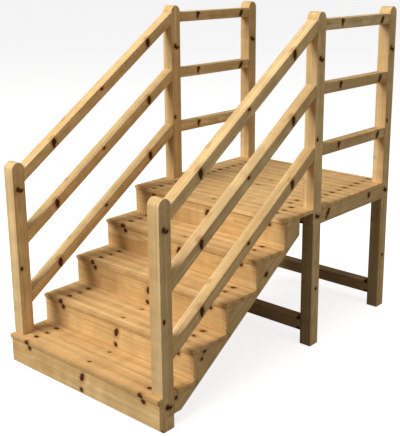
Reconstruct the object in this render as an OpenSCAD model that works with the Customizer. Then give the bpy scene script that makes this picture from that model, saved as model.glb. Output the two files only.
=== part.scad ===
/* Wooden deck stairs: a straight flight up to a small railed landing.
   Millimetres, +Z up. The origin is at ground level, under the middle of the
   stairs. The flight climbs towards +Y, so a person walks up along +Y. */

/* [Overall] */
// Width across the stairs, over the outer faces of the posts
stair_w = 1060; // [800:10:1400]

/* [Flight] */
// Height of each step
rise = 150; // [130:5:180]
// Depth of each step, from one riser face to the next
going = 223; // [200:1:280]
// How far each tread sticks out past its riser
nosing = 10; // [4:1:25]
// Thickness of the tread, riser and deck boards
board_t = 22; // [18:1:30]
// Gap between two boards lying side by side
board_gap = 1.2; // [0.8:0.2:4]
// Gap between the ground and the lowest riser
foot_gap = 20; // [10:1:40]

/* [Stringers] */
// Thickness of each saw-cut side stringer
stringer_t = 40; // [30:1:50]
// Wood left under each stringer notch, measured upright
stringer_throat = 6; // [4:1:40]
// How far the stringers run on under the deck, behind the last riser
stringer_tail = 104; // [60:1:120]
// How far the feet of the stringers are held above the tops of the front legs
stringer_lift = 2; // [0:1:10]

/* [Posts and legs] */
// Side of the square posts and legs
post = 70; // [60:1:90]
// Height of the short front legs
front_leg_h = 66; // [50:1:90]
// Clearance cut round each post in the boards it passes
notch_gap = 0.5; // [0.2:0.1:2]

/* [Railing] */
// Height of the top rail over the lowest tread, at the front posts
rail_h = 853; // [700:1:950]
// Upright distance between one rail and the next
rail_pitch = 316.5; // [250:0.5:350]
// Depth of each rail, measured square to it
rail_d = 55; // [40:1:70]
// How far each rail is set in from the post faces
rail_inset = 4; // [2:0.5:10]
// How far the straight part of a post stands over the top rail
post_over = 3; // [1:1:20]

/* [Landing frame] */
// Height of the beams under the deck
beam_h = 71; // [60:1:120]
// Thickness of the beams under the deck
beam_t = 62; // [40:1:66]

/* [Leg braces] */
// Height of the two braces between the legs
brace_h = 71; // [50:1:100]
// Height of the underside of the braces above the ground
brace_z = 75; // [40:5:300]

/* [Hidden] */
steps = 5;
deck_boards_n = 8;
half_w = stair_w / 2;
slope = rise / going;
board_pitch = (nosing + going + board_t) / 2;
board_w = board_pitch - board_gap;
deck_top = foot_gap + steps * rise;
deck_under = deck_top - board_t;
deck_front = (steps - 1) * going - nosing;
deck_back = deck_front + deck_boards_n * board_pitch - board_gap;
deck_leg_h = deck_under - beam_h;
front_y = board_t;
middle_y = deck_front + 2 * board_pitch;
back_y = deck_back - post;
inner_x = half_w - post;
front_rail_z = foot_gap + rise + rail_h;
middle_rail_z = front_rail_z + slope * (middle_y - front_y - post);
rail_fall = rail_d * sqrt(1 + slope * slope);
rail_w = post - 2 * rail_inset;
stringer_z = front_leg_h + stringer_lift;
notch_y = going + board_t;
stringer_end = (steps - 1) * going + board_t + stringer_tail;
y_shift = -(deck_back - nosing) / 2;
eps = 1;

pine_tread = [0.85, 0.66, 0.42];
pine_riser = [0.80, 0.61, 0.38];
pine_frame = [0.76, 0.58, 0.36];
pine_rail = [0.83, 0.66, 0.43];

// height of the walking surface of one step
function top_z(i) = foot_gap + i * rise;

// a board across the stairs, front edge at y, upper face at z
module cross_board(y, z) {
    translate([-half_w, y, z - board_t]) cube([stair_w, board_w, board_t]);
}

// the hole that lets a pair of posts pass through a board
module post_notches(y) {
    for (s = [-1, 1])
        translate([s * half_w - post - notch_gap, y - notch_gap, 0])
            cube([2 * (post + notch_gap), post + 2 * notch_gap, deck_top + eps]);
}

// a tread: two boards side by side, running back under the next riser
module tread(i) {
    color(pine_tread)
        translate([0, y_shift, 0])
            difference() {
                union() {
                    cross_board((i - 1) * going - nosing, top_z(i));
                    cross_board((i - 1) * going - nosing + board_pitch, top_z(i));
                }
                if (i == 1) post_notches(front_y);
            }
}

// the landing deck: boards side by side, cut round the four landing posts
module deck_boards() {
    color(pine_tread)
        translate([0, y_shift, 0])
            difference() {
                for (k = [0 : deck_boards_n - 1])
                    cross_board(deck_front + k * board_pitch, deck_top);
                post_notches(middle_y);
                post_notches(back_y);
            }
}

// an upright riser board, standing between two treads
module riser(i) {
    color(pine_riser)
        translate([-half_w, (i - 1) * going + y_shift, top_z(i - 1)])
            cube([stair_w, board_t, rise - board_t]);
}

// a saw-cut stringer: stepped on top, sloping underneath
module stringer(side) {
    low = foot_gap + rise - board_t - stringer_throat;
    lift = slope * (stringer_end - notch_y);
    toe = notch_y - (low - stringer_z) / slope;
    color(pine_frame)
        translate([side * half_w - stringer_t * (1 + side) / 2, y_shift, 0])
            rotate([90, 0, 90])
                linear_extrude(height = stringer_t)
                    polygon([
                        [front_y + post, stringer_z],
                        [toe, stringer_z],
                        [stringer_end, low + lift],
                        [stringer_end, top_z(5) - board_t],
                        [4 * going + board_t, top_z(5) - board_t],
                        [4 * going + board_t, top_z(4) - board_t],
                        [3 * going + board_t, top_z(4) - board_t],
                        [3 * going + board_t, top_z(3) - board_t],
                        [2 * going + board_t, top_z(3) - board_t],
                        [2 * going + board_t, top_z(2) - board_t],
                        [going + board_t, top_z(2) - board_t],
                        [going + board_t, top_z(1) - board_t],
                        [front_y + post, top_z(1) - board_t]
                    ]);
}

// a square post with a half-round top, from z0 to the start of the round
module post_piece(side, y, z0, z1) {
    color(pine_frame)
        translate([side * half_w - post * (1 + side) / 2, y + y_shift, z0]) {
            cube([post, post, z1 - z0]);
            translate([0, post / 2, z1 - z0])
                rotate([0, 90, 0])
                    cylinder(h = post, r = post / 2);
        }
}

// a square leg standing on the ground under a post
module leg_piece(side, y, h) {
    color(pine_frame)
        translate([side * half_w - post * (1 + side) / 2, y + y_shift, 0])
            cube([post, post, h]);
}

// a sloping rail, cut upright at both ends, n rails down from the top
module stair_rail(side, n) {
    z0 = front_rail_z - n * rail_pitch;
    z1 = middle_rail_z - n * rail_pitch;
    y0 = front_y + post;
    color(pine_rail)
        translate([side * (half_w - post / 2) - rail_w / 2, y_shift, 0])
            rotate([90, 0, 90])
                linear_extrude(height = rail_w)
                    polygon([
                        [y0, z0 - rail_fall],
                        [middle_y, z1 - rail_fall],
                        [middle_y, z1],
                        [y0, z0]
                    ]);
}

// a level rail between the middle and back posts, n rails down from the top
module landing_rail(side, n) {
    z1 = middle_rail_z - n * rail_pitch;
    y0 = middle_y + post;
    color(pine_rail)
        translate([side * (half_w - post / 2) - rail_w / 2, y0 + y_shift, z1 - rail_d])
            cube([rail_w, back_y - y0, rail_d]);
}

// a beam under the deck, between two posts across the stairs
module cross_beam(y) {
    color(pine_frame)
        translate([-inner_x, y + y_shift, deck_leg_h])
            cube([2 * inner_x, beam_t, beam_h]);
}

// a beam under the deck, between the middle and back posts on one side
module side_beam(side) {
    y0 = middle_y + post;
    color(pine_frame)
        translate([side * half_w - beam_t * (1 + side) / 2, y0 + y_shift, deck_leg_h])
            cube([beam_t, back_y - y0, beam_h]);
}

// a low brace between two legs across the stairs
module leg_brace(y) {
    color(pine_frame)
        translate([-inner_x, y + rail_inset + y_shift, brace_z])
            cube([2 * inner_x, rail_w, brace_h]);
}

tread(1);  // tread_1
tread(2);  // tread_2
tread(3);  // tread_3
tread(4);  // tread_4
deck_boards();
riser(1);  // riser_1
riser(2);  // riser_2
riser(3);  // riser_3
riser(4);  // riser_4
riser(5);  // riser_5
stringer(-1);  // stringer_left
stringer(1);  // stringer_right
post_piece(-1, front_y, front_leg_h, front_rail_z + post_over);  // post_front_left
post_piece(1, front_y, front_leg_h, front_rail_z + post_over);  // post_front_right
post_piece(-1, middle_y, deck_leg_h, middle_rail_z + post_over);  // post_middle_left
post_piece(1, middle_y, deck_leg_h, middle_rail_z + post_over);  // post_middle_right
post_piece(-1, back_y, deck_leg_h, middle_rail_z + post_over);  // post_back_left
post_piece(1, back_y, deck_leg_h, middle_rail_z + post_over);  // post_back_right
leg_piece(-1, front_y, front_leg_h);  // leg_front_left
leg_piece(1, front_y, front_leg_h);  // leg_front_right
leg_piece(-1, middle_y, deck_leg_h);  // leg_middle_left
leg_piece(1, middle_y, deck_leg_h);  // leg_middle_right
leg_piece(-1, back_y, deck_leg_h);  // leg_back_left
leg_piece(1, back_y, deck_leg_h);  // leg_back_right
stair_rail(-1, 0);  // stair_rail_top_left
stair_rail(-1, 1);  // stair_rail_middle_left
stair_rail(-1, 2);  // stair_rail_bottom_left
stair_rail(1, 0);  // stair_rail_top_right
stair_rail(1, 1);  // stair_rail_middle_right
stair_rail(1, 2);  // stair_rail_bottom_right
landing_rail(-1, 0);  // landing_rail_top_left
landing_rail(-1, 1);  // landing_rail_middle_left
landing_rail(-1, 2);  // landing_rail_bottom_left
landing_rail(1, 0);  // landing_rail_top_right
landing_rail(1, 1);  // landing_rail_middle_right
landing_rail(1, 2);  // landing_rail_bottom_right
cross_beam(middle_y);  // deck_beam_front
cross_beam(deck_back - beam_t);  // deck_beam_back
side_beam(-1);  // deck_beam_left
side_beam(1);  // deck_beam_right
leg_brace(middle_y);  // leg_brace_front
leg_brace(back_y);  // leg_brace_back
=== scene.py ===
"""Looks of the wooden deck stairs: eased, grained and knotted pine boards in the places the frame gives."""

import math
import random

import bmesh
import bpy
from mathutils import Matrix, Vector


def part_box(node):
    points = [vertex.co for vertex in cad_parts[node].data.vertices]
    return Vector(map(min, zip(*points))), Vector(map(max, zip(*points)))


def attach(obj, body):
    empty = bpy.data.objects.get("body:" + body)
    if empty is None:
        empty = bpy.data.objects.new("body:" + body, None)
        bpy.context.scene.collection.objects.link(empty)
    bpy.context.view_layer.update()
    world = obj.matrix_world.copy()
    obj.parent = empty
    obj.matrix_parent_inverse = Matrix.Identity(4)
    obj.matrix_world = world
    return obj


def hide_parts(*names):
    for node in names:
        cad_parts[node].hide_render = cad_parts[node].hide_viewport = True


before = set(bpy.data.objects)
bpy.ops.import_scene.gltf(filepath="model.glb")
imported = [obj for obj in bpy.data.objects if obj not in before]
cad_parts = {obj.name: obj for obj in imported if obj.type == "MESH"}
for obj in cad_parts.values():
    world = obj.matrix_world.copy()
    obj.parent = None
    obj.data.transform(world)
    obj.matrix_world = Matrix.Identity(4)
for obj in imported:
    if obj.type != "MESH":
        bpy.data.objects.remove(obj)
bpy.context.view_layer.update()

RNG = random.Random(41)

# ---------------------------------------------------------------- sizes, in metres

BOARD_GAP = 0.0012
NOTCH_GAP = 0.0005
SKIN = 0.0002  # what is planed off most faces, so that touching pieces show a fine joint
BOARD_DIP = 0.0006  # how much lower than its neighbours a worn board may lie
EASE_BOARD = 0.0030
EASE_FRAME = 0.0035
EASE_RAIL = 0.0035
EASE_SAWN = 0.0012
EASE_CUT = 0.0007
EASE_SEGMENTS = 3
ARC_STEPS = 40
BEVEL_ANGLE = math.radians(30)
SHARP_ANGLE = math.radians(40)
THROAT = 0.006  # wood left under each stringer notch, measured upright
FLOOR_REACH = 40.0
FLOOR_DROP = 0.0004  # how far the floor lies under the feet, so that they don't share a plane
SIDES = ("left", "right")


# ---------------------------------------------------------------- camera, floor and light

# name, place, what it is turned towards, width, power in watts, colour
SOFT_BOXES = (
    ("key", (-2.4, -5.6, 5.0), (0, 0, 0.7), 3.6, 520, (1.0, 0.985, 0.96)),
    ("top", (0.2, -0.4, 6.5), (0, 0, 0.5), 5.0, 136, (1.0, 0.99, 0.97)),
    ("side", (6.5, 0.6, 1.6), (0, 0, 0.8), 3.0, 66, (1.0, 0.96, 0.88)),
)


def make_camera():
    """A standing person's view from the front right of the flight."""
    azimuth, elevation = math.radians(40.13), math.radians(14.75)
    data = bpy.data.cameras.new("camera")
    data.sensor_width = 36.0
    data.lens = 68.18
    data.shift_x = -0.0695
    data.shift_y = -0.0818
    camera = bpy.data.objects.new("camera", data)
    bpy.context.scene.collection.objects.link(camera)
    camera.location = (2.8215, -3.1904, 1.9829)
    look = Vector((
        -math.sin(azimuth) * math.cos(elevation),
        math.cos(azimuth) * math.cos(elevation),
        -math.sin(elevation),
    ))
    camera.rotation_mode = "QUATERNION"
    camera.rotation_quaternion = look.to_track_quat("-Z", "Y")
    bpy.context.scene.camera = camera


def split_by_ray(net, unseen, seen, output):
    """Gives the camera's own rays one shader, and the light that goes round the scene another."""
    mix = net.node("ShaderNodeMixShader")
    net.link(net.node("ShaderNodeLightPath").outputs["Is Camera Ray"], mix.inputs[0])
    net.link(unseen.outputs[0], mix.inputs[1])
    net.link(seen.outputs[0], mix.inputs[2])
    net.link(mix.outputs[0], net.node(output).inputs["Surface"])


def floor_material():
    """Pale to look at, but giving back little light, so that the underside stays in shade."""
    mat = bpy.data.materials.new("floor")
    mat.use_nodes = True
    net = Net(mat)
    seen = net.node("ShaderNodeBsdfPrincipled")
    seen.inputs["Base Color"].default_value = (0.80, 0.80, 0.80, 1)
    seen.inputs["Roughness"].default_value = 0.9
    seen.inputs["Emission Color"].default_value = (1, 1, 1, 1)
    seen.inputs["Emission Strength"].default_value = 0.80
    bounce = net.node("ShaderNodeBsdfDiffuse")
    bounce.inputs["Color"].default_value = (0.24, 0.23, 0.22, 1)
    split_by_ray(net, bounce, seen, "ShaderNodeOutputMaterial")
    return mat


def make_floor():
    """A plain level sheet under the stairs."""
    near, far = -FLOOR_REACH, FLOOR_REACH
    mesh = bpy.data.meshes.new("floor")
    mesh.from_pydata([(near, near, 0), (far, near, 0), (far, far, 0), (near, far, 0)], [], [(0, 1, 2, 3)])
    mesh.materials.append(floor_material())
    floor = bpy.data.objects.new("floor", mesh)
    bpy.context.scene.collection.objects.link(floor)
    floor.location.z = -FLOOR_DROP


def area_light(name, spot, target, size, power, colour):
    """A square soft box at one spot, turned towards another."""
    data = bpy.data.lights.new(name, "AREA")
    data.size = size
    data.energy = power
    data.color = colour
    lamp = bpy.data.objects.new(name, data)
    bpy.context.scene.collection.objects.link(lamp)
    lamp.location = spot
    lamp.rotation_mode = "QUATERNION"
    lamp.rotation_quaternion = (Vector(target) - Vector(spot)).to_track_quat("-Z", "Y")


def make_light():
    """A large soft key from the front left, weaker ones from above and the right, and a dim room."""
    for soft_box in SOFT_BOXES:
        area_light(*soft_box)
    world = bpy.data.worlds.new("studio")
    bpy.context.scene.world = world
    world.use_nodes = True
    net = Net(world)
    room = net.node("ShaderNodeBackground")
    room.inputs["Color"].default_value = (1.0, 0.98, 0.95, 1)
    room.inputs["Strength"].default_value = 0.13
    backdrop = net.node("ShaderNodeBackground")
    backdrop.inputs["Color"].default_value = (1, 1, 1, 1)
    backdrop.inputs["Strength"].default_value = 1.0
    split_by_ray(net, room, backdrop, "ShaderNodeOutputWorld")
    bpy.context.scene.view_settings.view_transform = "Standard"


# ---------------------------------------------------------------- node helpers


class Net:
    """A node tree with short calls for the nodes that the wood is made of."""

    def __init__(self, owner):
        self.tree = owner.node_tree if hasattr(owner, "node_tree") else owner
        if hasattr(owner, "node_tree"):
            self.tree.nodes.clear()

    def node(self, kind, **settings):
        made = self.tree.nodes.new(kind)
        for key, value in settings.items():
            setattr(made, key, value)
        return made

    def link(self, source, target):
        self.tree.links.new(source, target)

    def feed(self, socket, value):
        if isinstance(value, bpy.types.NodeSocket):
            self.link(value, socket)
        elif value is not None:
            socket.default_value = value

    def math(self, operation, a, b=None):
        made = self.node("ShaderNodeMath", operation=operation)
        for socket, value in zip(made.inputs, (a, b)):
            self.feed(socket, value)
        return made.outputs[0]

    def vector(self, operation, a, b=None, scale=None):
        made = self.node("ShaderNodeVectorMath", operation=operation)
        self.feed(made.inputs[0], a)
        self.feed(made.inputs[1], b)
        if scale is not None:
            self.feed(made.inputs["Scale"], scale)
        return made.outputs["Value" if operation in ("LENGTH", "DOT_PRODUCT") else "Vector"]

    def attribute(self, name, output):
        return self.node("ShaderNodeAttribute", attribute_name=name).outputs[output]

    def split(self, vector):
        made = self.node("ShaderNodeSeparateXYZ")
        self.link(vector, made.inputs[0])
        return made.outputs[0], made.outputs[1], made.outputs[2]

    def join(self, x, y, z):
        made = self.node("ShaderNodeCombineXYZ")
        for socket, value in zip(made.inputs, (x, y, z)):
            self.feed(socket, value)
        return made.outputs[0]

    def noise(self, vector, stretch, detail=2.0, roughness=0.5):
        made = self.node("ShaderNodeTexNoise")
        made.inputs["Scale"].default_value = 1.0
        made.inputs["Detail"].default_value = detail
        made.inputs["Roughness"].default_value = roughness
        self.link(self.vector("MULTIPLY", vector, stretch), made.inputs["Vector"])
        return made.outputs["Fac"]

    def remap(self, value, low, high, to_low=0.0, to_high=1.0, smooth=True):
        kind = "SMOOTHSTEP" if smooth else "LINEAR"
        made = self.node("ShaderNodeMapRange", interpolation_type=kind)
        for key, given in zip(("Value", "From Min", "From Max", "To Min", "To Max"),
                              (value, low, high, to_low, to_high)):
            self.feed(made.inputs[key], given)
        return made.outputs["Result"]

    def spread(self, value, to_low, to_high):
        """Turns a number from 0 to 1 into one from to_low to to_high, evenly."""
        return self.remap(value, 0, 1, to_low, to_high, smooth=False)

    def mix(self, amount, a, b):
        made = self.node("ShaderNodeMix", data_type="RGBA")
        self.feed(made.inputs[0], amount)
        for socket, value in ((made.inputs[6], a), (made.inputs[7], b)):
            if isinstance(value, tuple):
                value = (*value, 1.0)
            self.feed(socket, value)
        return made.outputs[2]


# ---------------------------------------------------------------- the pine

PALE_WOOD = (0.800, 0.585, 0.315)
EARLY_WOOD = (0.735, 0.500, 0.240)
EARLY_WARM = (0.620, 0.385, 0.165)
DEEP_WARM = (0.560, 0.330, 0.130)
LATE_WOOD = (0.500, 0.285, 0.105)
KNOT_HEART = (0.060, 0.017, 0.004)
KNOT_AMBER = (0.150, 0.050, 0.012)
KNOT_RING = (0.014, 0.004, 0.001)
KNOT_HALO = (0.420, 0.205, 0.065)
GRIME = (0.330, 0.200, 0.095)

# what a kind of piece multiplies those colours by
WARM = (1.00, 0.95, 0.86)
RUDDY = (1.03, 1.00, 0.90)
# painted light: a paler copy of the riser wood for the lowest riser, standing in for the shade that the upper
# risers lie in
PAINTED_LIGHT_PALE = (1.09, 1.09, 1.02)
BRIGHT = (1.09, 1.04, 0.95)
FRESH = (1.02, 1.06, 1.06)
TINTS = {"treads": WARM, "landing": BRIGHT, "risers": RUDDY, "first_riser": PAINTED_LIGHT_PALE}

# noise in the wood: how often it repeats in a metre along, across and into the board, detail, roughness
PATTERNS = {
    "sway": ((1.7, 7, 7), 2.0, 0.5),
    "ripple": ((9, 40, 40), 2.0, 0.5),
    "fibre": ((7, 420, 420), 3.0, 0.6),
    "streak": ((1.6, 60, 60), 2.0, 0.55),
    "cloud": ((1.3, 8, 8), 2.0, 0.5),
    "band": ((0.7, 48, 48), 2.0, 0.6),
    "figure": ((13, 5, 5), 1.0, 0.5),
    "knot_edge": ((75, 75, 75), 3.0, 0.5),
    "knot_mottle": ((210, 210, 210), 2.0, 0.5),
    "worn_edge": ((30, 90, 90), 3.0, 0.5),
}
BOARD_SPREAD = 37.0  # how far apart in the noise two boards may lie, so that they differ

RING_PITCH = 0.0046
RING_UNEVENNESS = 0.9
PITH_DEPTH = 0.045  # how far below the middle of a board its pith lies, give or take a half
PITH_ASIDE = 0.03
RING_LEAN = 0.02  # how fast rings run out of a board that isn't sawn true
SWAY_REACH = 0.030
RIPPLE_REACH = 0.004

STRIP_SWAY = 0.012
STRIP_DARKENING = 0.10

FAR = 9.0  # in knot radii, what a board with no knot has for its nearest one
KNOT_DEPTH = 0.012  # how far above the middle of its board a knot on one face starts to taper
THROUGH = -1.0  # the same, for a knot that never tapers
KNOT_TAPER = 90.0
KNOT_FADE = 0.42  # how fast the grain settles again away from a knot
KNOT_PUSH = 0.86
KNOT_RAGGEDNESS = 0.9
KNOT_RINGS = 3.3

WEAR_WIDTH = 0.004
WEAR_RAGGEDNESS = 0.003
BUMP_STRENGTH = 0.35
BUMP_HEIGHT = 0.0007


def knot_group():
    """One knot: how many knot radii away a point is, and how far the grain is pushed aside there."""
    group = bpy.data.node_groups.new("knot", "ShaderNodeTree")
    for name, kind, way in (
        ("Place", "NodeSocketVector", "INPUT"),
        ("Centre", "NodeSocketVector", "INPUT"),
        ("Stretch", "NodeSocketVector", "INPUT"),
        ("Tilt", "NodeSocketFloat", "INPUT"),
        ("Face", "NodeSocketVector", "INPUT"),
        ("Depth", "NodeSocketFloat", "INPUT"),
        ("Radii", "NodeSocketFloat", "OUTPUT"),
        ("Push", "NodeSocketVector", "OUTPUT"),
    ):
        group.interface.new_socket(name, in_out=way, socket_type=kind)
    net = Net(group)
    given = net.node("NodeGroupInput").outputs
    away = net.vector("SUBTRACT", given["Place"], given["Centre"])
    turn = net.node("ShaderNodeVectorRotate", rotation_type="Z_AXIS")
    net.link(away, turn.inputs["Vector"])
    net.link(given["Tilt"], turn.inputs["Angle"])
    radii = net.vector("LENGTH", net.vector("MULTIPLY", turn.outputs[0], given["Stretch"]))
    inward = net.math("SUBTRACT", given["Depth"], net.vector("DOT_PRODUCT", given["Place"], given["Face"]))
    radii = net.math("ADD", radii, net.math("MULTIPLY", net.math("MAXIMUM", inward, 0.0), KNOT_TAPER))
    spread = net.math("MULTIPLY", radii, KNOT_FADE)
    fade = net.math("EXPONENT", net.math("MULTIPLY", net.math("MULTIPLY", spread, spread), -1.0))
    push = net.vector("SCALE", net.vector("MULTIPLY", away, (0, KNOT_PUSH, 0)), scale=fade)
    out = net.node("NodeGroupOutput")
    net.link(radii, out.inputs["Radii"])
    net.link(push, out.inputs["Push"])
    return group


def knot_field(net, place, knots):
    """How many radii away the nearest knot is, and how far all the knots push the grain aside."""
    nearest, push = FAR, (0, 0, 0)
    for along, across, half_length, half_width, tilt, face, *half_depth in knots:
        made = net.node("ShaderNodeGroup", node_tree=KNOT)
        net.link(place, made.inputs["Place"])
        made.inputs["Centre"].default_value = (along, across, 0)
        flatten = 1 / half_depth[0] if half_depth else 0
        made.inputs["Stretch"].default_value = (1 / half_length, 1 / half_width, flatten)
        made.inputs["Tilt"].default_value = math.radians(tilt)
        made.inputs["Face"].default_value = (0, 0, face)
        made.inputs["Depth"].default_value = KNOT_DEPTH if face else THROUGH
        nearest = net.math("MINIMUM", made.outputs["Radii"], nearest)
        push = net.vector("ADD", made.outputs["Push"], push)
    return nearest, push


def growth_rings(net, own, along, across, deep, sway, luck):
    """The dark late wood of rings round a pith below the board."""
    ripple = net.math("SUBTRACT", net.noise(own, *PATTERNS["ripple"]), 0.5)
    bend = net.math("ADD", net.math("MULTIPLY", sway, SWAY_REACH), net.math("MULTIPLY", ripple, RIPPLE_REACH))
    aside = net.spread(luck[0], -PITH_ASIDE, PITH_ASIDE)
    below = net.spread(luck[1], PITH_DEPTH * 0.5, PITH_DEPTH * 1.5)
    side = net.math("SUBTRACT", net.math("ADD", across, bend), aside)
    down = net.math("ADD", net.math("ADD", deep, bend), below)
    squares = net.math("ADD", net.math("MULTIPLY", side, side), net.math("MULTIPLY", down, down))
    lean = net.math("MULTIPLY", along, net.spread(luck[2], -RING_LEAN, RING_LEAN))
    radius = net.math("ADD", net.math("SQRT", squares), lean)
    uneven = net.noise(net.join(radius, luck[0], 0.0), (55, 9, 1), 1.0)
    years = net.math("DIVIDE", radius, RING_PITCH)
    year = net.math("FRACT", net.math("ADD", years, net.math("MULTIPLY", uneven, RING_UNEVENNESS)))
    return net.math("MULTIPLY", net.remap(year, 0.30, 0.86), net.remap(year, 0.90, 1.0, 1.0, 0.0))


def wood_colour(net, own, late, fibre, luck):
    """The colour of wood without knots, and how light it is."""
    streak, cloud, band, figure = [
        net.noise(own, *PATTERNS[name]) for name in ("streak", "cloud", "band", "figure")
    ]
    base = net.mix(net.remap(cloud, 0.32, 0.70), EARLY_WOOD, EARLY_WARM)
    base = net.mix(net.remap(band, 0.50, 0.66, 0.0, 0.90), base, PALE_WOOD)
    base = net.mix(net.remap(band, 0.46, 0.30, 0.0, 0.65), base, DEEP_WARM)
    base = net.mix(net.math("MULTIPLY", late, net.remap(streak, 0.25, 0.75, 0.20, 0.70)), base, LATE_WOOD)
    light = net.math("ADD", net.remap(fibre, 0.25, 0.75, -0.07, 0.07), net.spread(luck[2], 0.94, 1.06))
    return base, net.math("ADD", light, net.remap(figure, 0.3, 0.7, -0.09, 0.09))


def darken_strips(net, light, across, sway, strip):
    """Darker strips along the board, the first of them at the place strip."""
    wander = net.math("ADD", across, net.math("MULTIPLY", sway, STRIP_SWAY))
    phase = net.math("MULTIPLY", net.math("SUBTRACT", wander, strip), math.tau / STRIP_PITCH)
    return net.math("SUBTRACT", light, net.math("MULTIPLY", net.math("COSINE", phase), STRIP_DARKENING))


def paint_knots(net, own, nearest, base):
    """A dark rim, a brown heart with rings, and an amber halo round each knot."""
    ragged = net.math("SUBTRACT", net.noise(own, *PATTERNS["knot_edge"]), 0.5)
    knot = net.math("ADD", nearest, net.math("MULTIPLY", ragged, KNOT_RAGGEDNESS))
    halo = net.remap(knot, 0.9, 2.4, 1.0, 0.0)
    heart = net.remap(knot, 0.86, 1.12, 1.0, 0.0)
    rim = net.math("MULTIPLY", net.remap(knot, 0.50, 0.95), heart)
    rings = net.math("PINGPONG", net.math("MULTIPLY", knot, KNOT_RINGS), 0.5)
    mottle = net.remap(net.noise(own, *PATTERNS["knot_mottle"]), 0.35, 0.68)
    inner = net.mix(mottle, KNOT_HEART, KNOT_AMBER)
    inner = net.mix(net.math("MAXIMUM", rim, net.math("MULTIPLY", rings, 0.8)), inner, KNOT_RING)
    base = net.mix(halo, base, net.mix(0.72, base, KNOT_HALO))
    return net.mix(heart, base, inner), rim


def wear_edges(net, own, place, base):
    """Handling leaves the arrises a little dull and grimy."""
    halves = net.split(net.attribute("half", "Vector"))
    gaps = [
        net.math("SUBTRACT", half, net.math("ABSOLUTE", offset))
        for half, offset in zip(halves, net.split(place))
    ]
    low = net.math("MINIMUM", gaps[0], gaps[1])
    high = net.math("MAXIMUM", gaps[0], gaps[1])
    to_edge = net.math("MAXIMUM", low, net.math("MINIMUM", high, gaps[2]))
    worn = net.remap(net.noise(own, *PATTERNS["worn_edge"]), 0.3, 0.7, -WEAR_RAGGEDNESS, WEAR_RAGGEDNESS)
    wear = net.remap(net.math("ADD", to_edge, worn), 0.0, WEAR_WIDTH, 0.22, 0.0)
    return net.mix(wear, base, GRIME)


def finish_wood(net, base, late, fibre, rim):
    """A dull, faintly ridged surface: late wood and fibres stand up, and a knot's rim sinks."""
    shader = net.node("ShaderNodeBsdfPrincipled")
    net.link(base, shader.inputs["Base Color"])
    net.link(net.remap(fibre, 0.2, 0.8, 0.52, 0.68), shader.inputs["Roughness"])
    shader.inputs["Specular IOR Level"].default_value = 0.18
    height = net.math("ADD", net.math("MULTIPLY", late, 0.55), net.math("MULTIPLY", fibre, 0.6))
    height = net.math("SUBTRACT", height, net.math("MULTIPLY", rim, 0.8))
    bump = net.node("ShaderNodeBump")
    bump.inputs["Strength"].default_value = BUMP_STRENGTH
    bump.inputs["Distance"].default_value = BUMP_HEIGHT
    net.link(height, bump.inputs["Height"])
    net.link(bump.outputs[0], shader.inputs["Normal"])
    net.link(shader.outputs[0], net.node("ShaderNodeOutputMaterial").inputs["Surface"])


def pine(name, knots, tint, strip):
    """Knotty pine, in the board's own axes. strip is where its first dark strip runs, or None."""
    mat = bpy.data.materials.new(name)
    mat.use_nodes = True
    net = Net(mat)
    place = net.attribute("wood", "Vector")
    dice = net.node("ShaderNodeTexWhiteNoise", noise_dimensions="1D")
    net.link(net.attribute("board", "Fac"), dice.inputs["W"])
    luck = net.split(dice.outputs["Color"])
    own = net.vector("ADD", place, net.vector("SCALE", dice.outputs["Color"], scale=BOARD_SPREAD))

    nearest, push = knot_field(net, place, knots)
    along, across, deep = net.split(net.vector("SUBTRACT", place, push))
    sway = net.math("SUBTRACT", net.noise(own, *PATTERNS["sway"]), 0.5)
    late = growth_rings(net, own, along, across, deep, sway, luck)
    fibre = net.noise(own, *PATTERNS["fibre"])
    base, light = wood_colour(net, own, late, fibre, luck)
    if strip is not None:
        light = darken_strips(net, light, across, sway, strip)
    base = net.vector("MULTIPLY", net.vector("SCALE", base, scale=light), tint)
    base, rim = paint_knots(net, own, nearest, base)
    finish_wood(net, wear_edges(net, own, place, base), late, fibre, rim)
    return mat


# ---------------------------------------------------------------- solids


def lift(axis, point, depth):
    """A point of an outline, at a depth along the axis that the outline is pushed along."""
    u, v = point
    return {"x": (depth, u, v), "y": (u, depth, v), "z": (u, v, depth)}[axis]


def on_cut(edge, cuts):
    """Whether an edge lies in one of the planes, (axis number, value), of the sawn ends."""
    return any(all(abs(v.co[number] - value) < SKIN / 10 for v in edge.verts) for number, value in cuts)


def bevel(bm, edges, width):
    """Rounds some edges over."""
    bmesh.ops.bevel(bm, geom=edges, offset=width, segments=EASE_SEGMENTS, profile=0.5,
                    affect="EDGES", clamp_overlap=True)


def prism(axis, outline, start, end, ease, along, across, cuts=()):
    """A solid of one outline pushed along an axis, with eased edges and its own grain axes. cuts are
    the planes, as (axis number, value), of the sawn ends, whose edges are eased less."""
    bm = bmesh.new()
    near = [bm.verts.new(lift(axis, p, start)) for p in outline]
    far = [bm.verts.new(lift(axis, p, end)) for p in outline]
    bm.faces.new(near)
    bm.faces.new(list(reversed(far)))
    for i in range(len(outline)):
        j = (i + 1) % len(outline)
        bm.faces.new((near[j], near[i], far[i], far[j]))
    bmesh.ops.recalc_face_normals(bm, faces=bm.faces)
    sharp = [e for e in bm.edges if e.calc_face_angle(0) > BEVEL_ANGLE]
    bevel(bm, [e for e in sharp if not on_cut(e, cuts)], ease)
    bevel(bm, [e for e in bm.edges if on_cut(e, cuts)], EASE_CUT)
    bm.verts.ensure_lookup_table()
    verts = [v.co.copy() for v in bm.verts]
    faces = [[v.index for v in f.verts] for f in bm.faces]
    bm.free()
    along, across = Vector(along).normalized(), Vector(across).normalized()
    through = along.cross(across)
    spans = [(min(v.dot(d) for v in verts), max(v.dot(d) for v in verts)) for d in (along, across, through)]
    middle = Vector([(lo + hi) / 2 for lo, hi in spans])
    half = Vector([(hi - lo) / 2 for lo, hi in spans])
    wood = [Vector((v.dot(along), v.dot(across), v.dot(through))) - middle for v in verts]
    return {"verts": verts, "faces": faces, "wood": wood, "half": half, "seed": RNG.random()}


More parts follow.
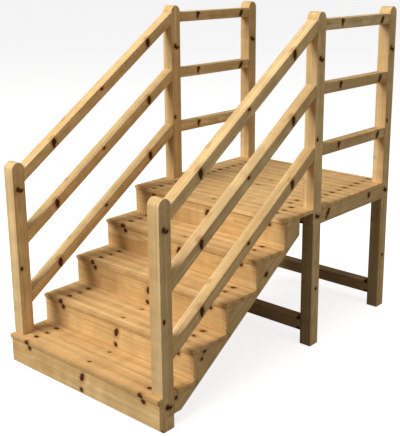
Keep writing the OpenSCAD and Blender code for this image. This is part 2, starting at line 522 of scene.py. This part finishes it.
def box_outline(u0, u1, v0, v1):
    """The four corners of a rectangle."""
    return [(u0, v0), (u1, v0), (u1, v1), (u0, v1)]


def make_piece(node, solids, material):
    """One mesh object of one or more solids, which stands for a node of the frame."""
    verts, faces, wood, half, seeds = [], [], [], [], []
    for s in solids:
        first = len(verts)
        verts += s["verts"]
        faces += [[first + i for i in f] for f in s["faces"]]
        wood += s["wood"]
        half += [s["half"]] * len(s["verts"])
        seeds += [s["seed"]] * len(s["verts"])
    mesh = bpy.data.meshes.new(node + "_pine")
    mesh.from_pydata([tuple(v) for v in verts], [], faces)
    for name, values in (("wood", wood), ("half", half)):
        layer = mesh.attributes.new(name, "FLOAT_VECTOR", "POINT")
        layer.data.foreach_set("vector", [x for v in values for x in v])
    mesh.attributes.new("board", "FLOAT", "POINT").data.foreach_set("value", seeds)
    mesh.shade_smooth()
    mesh.set_sharp_from_angle(angle=SHARP_ANGLE)
    mesh.materials.append(material)
    piece = bpy.data.objects.new(node + "_pine", mesh)
    bpy.context.scene.collection.objects.link(piece)
    normals = piece.modifiers.new("normals", "WEIGHTED_NORMAL")
    normals.keep_sharp = True
    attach(piece, "root")
    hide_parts(node)


# ---------------------------------------------------------------- the stairs


def shrunk(node):
    """A node's box with the skin planed off."""
    lo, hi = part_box(node)
    skin = Vector((SKIN, SKIN, SKIN))
    return lo + skin, hi - skin


def board_end(x_end, x_notch, low, high, y0, y1):
    """One end of a board, from its front edge to its back edge, with a notch from low to high."""
    if low <= y0:
        return [(x_notch, y0), (x_notch, high), (x_end, high), (x_end, y1)]
    if high >= y1:
        return [(x_end, y0), (x_end, low), (x_notch, low), (x_notch, y1)]
    return [(x_end, y0), (x_end, low), (x_notch, low), (x_notch, high), (x_end, high), (x_end, y1)]


def notched_outline(x0, x1, y0, y1, posts):
    """A board seen from above, with a notch in each end that one of the posts passes through."""
    left, right = [(x0, y0), (x0, y1)], [(x1, y0), (x1, y1)]
    for name in posts:
        lo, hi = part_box(name)
        lo_y, hi_y = lo.y - NOTCH_GAP, hi.y + NOTCH_GAP
        if hi_y < y0 or lo_y > y1:
            continue
        low, high = max(lo_y, y0), min(hi_y, y1)
        if hi.x < 0:
            left = board_end(x0, hi.x + NOTCH_GAP, low, high, y0, y1)
        else:
            right = board_end(x1, lo.x - NOTCH_GAP, low, high, y0, y1)
    return right + left[::-1]


def boards(node, count, material, posts=(), short=None):
    """Flat boards side by side across the stairs. Number short lies between two posts, and its knots
    are closer in."""
    lo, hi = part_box(node)
    width = (hi.y - lo.y - BOARD_GAP * (count - 1)) / count
    solids = []
    for k in range(count):
        y0 = lo.y + k * (width + BOARD_GAP) + SKIN
        outline = notched_outline(lo.x, hi.x, y0, y0 + width - 2 * SKIN, posts)
        dip = RNG.uniform(0.0, BOARD_DIP)
        solids.append(prism("z", outline, lo.z + SKIN, hi.z - dip, EASE_BOARD, (1, 0, 0), (0, 1, 0)))
        if k == short:
            board = solids[k]
            board["wood"] = [Vector((w.x * SHORT_REACH, w.y, w.z)) for w in board["wood"]]
            board["half"] = Vector((hi.x * SHORT_REACH, *board["half"][1:]))
    make_piece(node, solids, PINE[material])


def riser(node):
    """An upright board across the stairs."""
    lo, hi = shrunk(node)
    outline = box_outline(lo.x, hi.x, lo.z, hi.z)
    solid = prism("y", outline, lo.y, hi.y, EASE_SAWN, (1, 0, 0), (0, 0, 1))
    # the lowest riser takes the paler copy of the riser wood, painted light for the shade that the other
    # risers lie in
    make_piece(node, [solid], PINE["first_riser" if node == "riser_1" else "risers"])


def post(node):
    """A square post whose top is a half round, seen from the side of the stairs."""
    lo, hi = shrunk(node)
    half = (hi.y - lo.y) / 2
    mid_y, spring = (lo.y + hi.y) / 2, hi.z - half
    arc = [
        (mid_y + half * math.cos(t), spring + half * math.sin(t))
        for t in (math.pi * k / ARC_STEPS for k in range(ARC_STEPS + 1))
    ]
    outline = [(lo.y, lo.z), (hi.y, lo.z)] + arc
    solid = prism("x", outline, lo.x, hi.x, EASE_FRAME, (0, 0, 1), (0, -1, 0), [(2, lo.z)])
    make_piece(node, [solid], PINE["front_posts" if "front" in node else "landing_posts"])


def leg(node):
    """A square leg that stands on the ground."""
    lo, hi = shrunk(node)
    lo.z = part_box(node)[0].z
    solid = prism("x", box_outline(lo.y, hi.y, lo.z, hi.z), lo.x, hi.x, EASE_FRAME, (0, 0, 1), (0, -1, 0),
                  [(2, hi.z)])
    make_piece(node, [solid], PINE["front_legs" if "front" in node else "legs"])


def stair_rail(node):
    """A sloping rail with upright cuts at its two ends."""
    lo, hi = shrunk(node)
    rise = SLOPE * (hi.y - lo.y)
    depth = hi.z - lo.z - rise
    outline = [(lo.y, lo.z), (hi.y, lo.z + rise), (hi.y, hi.z), (lo.y, lo.z + depth)]
    along = Vector((0, 1, SLOPE)).normalized()
    solid = prism("x", outline, lo.x, hi.x, EASE_RAIL, along, (0, -along.z, along.y),
                  [(1, lo.y), (1, hi.y)])
    make_piece(node, [solid], PINE["stair_rails"])


def landing_rail(node):
    """A level rail that runs the way the flight does."""
    lo, hi = shrunk(node)
    solid = prism("x", box_outline(lo.y, hi.y, lo.z, hi.z), lo.x, hi.x, EASE_RAIL, (0, 1, 0), (0, 0, 1),
                  [(1, lo.y), (1, hi.y)])
    make_piece(node, [solid], PINE["landing_rails"])


def side_beam(node):
    """A beam under one side of the landing."""
    lo, hi = shrunk(node)
    solid = prism("x", box_outline(lo.y, hi.y, lo.z, hi.z), lo.x, hi.x, EASE_SAWN, (0, 1, 0), (0, 0, 1),
                  [(1, lo.y), (1, hi.y)])
    make_piece(node, [solid], PINE["side_beams"])


def cross_beam(node):
    """A beam or brace across the stairs."""
    lo, hi = shrunk(node)
    solid = prism("y", box_outline(lo.x, hi.x, lo.z, hi.z), lo.y, hi.y, EASE_FRAME, (1, 0, 0), (0, 0, 1),
                  [(0, lo.x), (0, hi.x)])
    make_piece(node, [solid], PINE["cross_beams"])


def stringer(node):
    """Saw-cut steps on top and one sloping edge underneath."""
    lo, hi = shrunk(node)
    toe_z, end_y = lo.z, hi.y
    end_low = LOW_LINE + SLOPE * end_y
    outline = [(lo.y, toe_z), ((toe_z - LOW_LINE) / SLOPE, toe_z), (end_y, end_low), (end_y, hi.z)]
    for step in (5, 4, 3, 2):
        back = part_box("riser_%d" % step)[1].y + SKIN
        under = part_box("tread_%d" % (step - 1))[0].z - SKIN
        top = hi.z if step == 5 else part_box("tread_%d" % step)[0].z - SKIN
        outline += [(back, top), (back, under)]
    outline.append((lo.y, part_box("tread_1")[0].z - SKIN))
    along = Vector((0, 1, SLOPE)).normalized()
    solid = prism("x", outline, lo.x, hi.x, EASE_SAWN, along, (0, -along.z, along.y))
    make_piece(node, [solid], PINE["stringers"])


# ---------------------------------------------------------------- knots, by kind of piece

# A knot is its place along and across the board, half length, half width, tilt in degrees, and face:
# 1 or -1 for a knot on one broad face, and 0 for one that goes right through. A seventh number makes
# it an egg with that half depth. Lengths are in metres from the middle of the board.

STRIP_PITCH = 0.0645  # darker strips run along each row of knots, at this spacing
LANDING_SHIFT = 0.020  # how far the rows of knots on the landing lie from the middle of each board
SHORT_REACH = 1.15  # how much closer in the knots lie on the short board
STRIPS = {"treads": 0.0, "landing": LANDING_SHIFT}


def from_foot(half_length, knots):
    """Knots whose first number is a height above the piece's lower end."""
    return [(height - half_length, *rest) for height, *rest in knots]


POST_KNOTS = [
    (0.050, 0.007, 0.012, 0.012, 0, 1),
    (0.042, -0.010, 0.008, 0.012, -20, 1),
    (0.455, 0.017, 0.010, 0.008, 0, 1),
    (0.861, 0.008, 0.012, 0.011, 0, 1),
    (0.852, -0.009, 0.008, 0.013, -24, 1),
    (0.240, 0.004, 0.010, 0.018, -20, -1),
    (0.700, -0.010, 0.009, 0.010, 0, -1),
]

RISER_KNOTS = [
    (-0.384, 0.046, 0.013, 0.012, 0, 0),
    (0.430, 0.046, 0.013, 0.012, 0, 0),
    (0.017, 0.022, 0.014, 0.022, 26, 0),
    (0.024, 0.036, 0.007, 0.008, 0, 0),
    (0.008, -0.044, 0.012, 0.011, 20, 0),
]

KNOTS = {
    "treads": [
        (-0.395, 0.000, 0.015, 0.010, 10, 0),
        (-0.392, -0.063, 0.016, 0.012, 0, 0, 0.0135),
        (-0.388, 0.064, 0.014, 0.009, 0, 0),
        (0.420, 0.000, 0.015, 0.010, -12, 0),
        (0.420, -0.063, 0.016, 0.012, 0, 0, 0.0135),
        (0.424, 0.064, 0.014, 0.009, 0, 0),
        (0.017, -0.006, 0.010, 0.006, -20, 0),
    ],
    "landing": [
        (-0.395, LANDING_SHIFT, 0.015, 0.010, 10, 0),
        (-0.390, LANDING_SHIFT - 0.064, 0.013, 0.008, 0, 0),
        (0.420, LANDING_SHIFT, 0.015, 0.010, -12, 0),
        (0.424, LANDING_SHIFT - 0.064, 0.013, 0.008, 0, 0),
        (0.006, LANDING_SHIFT - 0.008, 0.010, 0.006, -20, 0),
    ],
    "risers": RISER_KNOTS,
    "first_riser": RISER_KNOTS,
    "front_posts": from_foot(0.4975, POST_KNOTS),
    "landing_posts": from_foot(0.5435, POST_KNOTS),
    "front_legs": [],
    "legs": [
        (-0.016, -0.004, 0.008, 0.009, 0, 1),
        (0.200, 0.010, 0.009, 0.016, 14, -1),
    ],
    "stair_rails": [
        (-0.396, 0.005, 0.014, 0.021, 34, 1),
        (-0.407, -0.012, 0.007, 0.009, 0, 1),
        (0.005, 0.014, 0.011, 0.007, 10, 1),
        (0.410, 0.005, 0.014, 0.021, 34, 1),
        (0.399, -0.012, 0.007, 0.009, 0, 1),
        (-0.250, 0.003, 0.013, 0.019, -30, -1),
        (0.290, -0.004, 0.012, 0.017, -26, -1),
    ],
    "landing_rails": [
        (-0.160, 0.006, 0.009, 0.019, 0, 0),
        (-0.150, 0.014, 0.008, 0.008, 0, 0),
        (0.236, -0.001, 0.011, 0.022, 36, 0),
        (0.226, -0.014, 0.009, 0.006, 0, 0),
    ],
    "side_beams": [
        (-0.246, 0.012, 0.011, 0.024, 34, 0),
        (-0.262, -0.012, 0.008, 0.009, 0, 0),
        (0.165, 0.018, 0.012, 0.017, 20, 0),
    ],
    "cross_beams": [
        (0.446, 0.032, 0.012, 0.008, 0, 0),
        (0.446, -0.028, 0.012, 0.007, 0, 0),
        (-0.210, 0.004, 0.012, 0.010, 0, 0),
    ],
    "stringers": [
        (-0.523, 0.013, 0.009, 0.010, 0, 0),
        (-0.315, 0.019, 0.009, 0.008, 0, 0),
        (-0.280, 0.034, 0.012, 0.009, 0, 0),
        (0.225, -0.021, 0.014, 0.011, 0, 0),
    ],
}

make_camera()
make_floor()
make_light()

KNOT = knot_group()
PINE = {
    kind: pine("pine_" + kind, knots, TINTS.get(kind, FRESH), STRIPS.get(kind))
    for kind, knots in KNOTS.items()
}

lower_tread, upper_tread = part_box("tread_1"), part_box("tread_2")
RISE = upper_tread[1].z - lower_tread[1].z
GOING = upper_tread[0].y - lower_tread[0].y
SLOPE = RISE / GOING
LOW_LINE = lower_tread[0].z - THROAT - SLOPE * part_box("riser_2")[1].y  # the stringers' lower edge, at y = 0

FRONT_POSTS = ["post_front_left", "post_front_right"]
LANDING_POSTS = ["post_middle_left", "post_middle_right", "post_back_left", "post_back_right"]

for step in range(1, 5):
    boards("tread_%d" % step, 2, "treads", FRONT_POSTS if step == 1 else ())
boards("deck_boards", 8, "landing", LANDING_POSTS, short=2)
for step in range(1, 6):
    riser("riser_%d" % step)
for side in SIDES:
    stringer("stringer_" + side)
    for place in ("front", "middle", "back"):
        post("post_%s_%s" % (place, side))
        leg("leg_%s_%s" % (place, side))
    for level in ("top", "middle", "bottom"):
        stair_rail("stair_rail_%s_%s" % (level, side))
        landing_rail("landing_rail_%s_%s" % (level, side))
    side_beam("deck_beam_" + side)
for place in ("front", "back"):
    cross_beam("deck_beam_" + place)
    cross_beam("leg_brace_" + place)
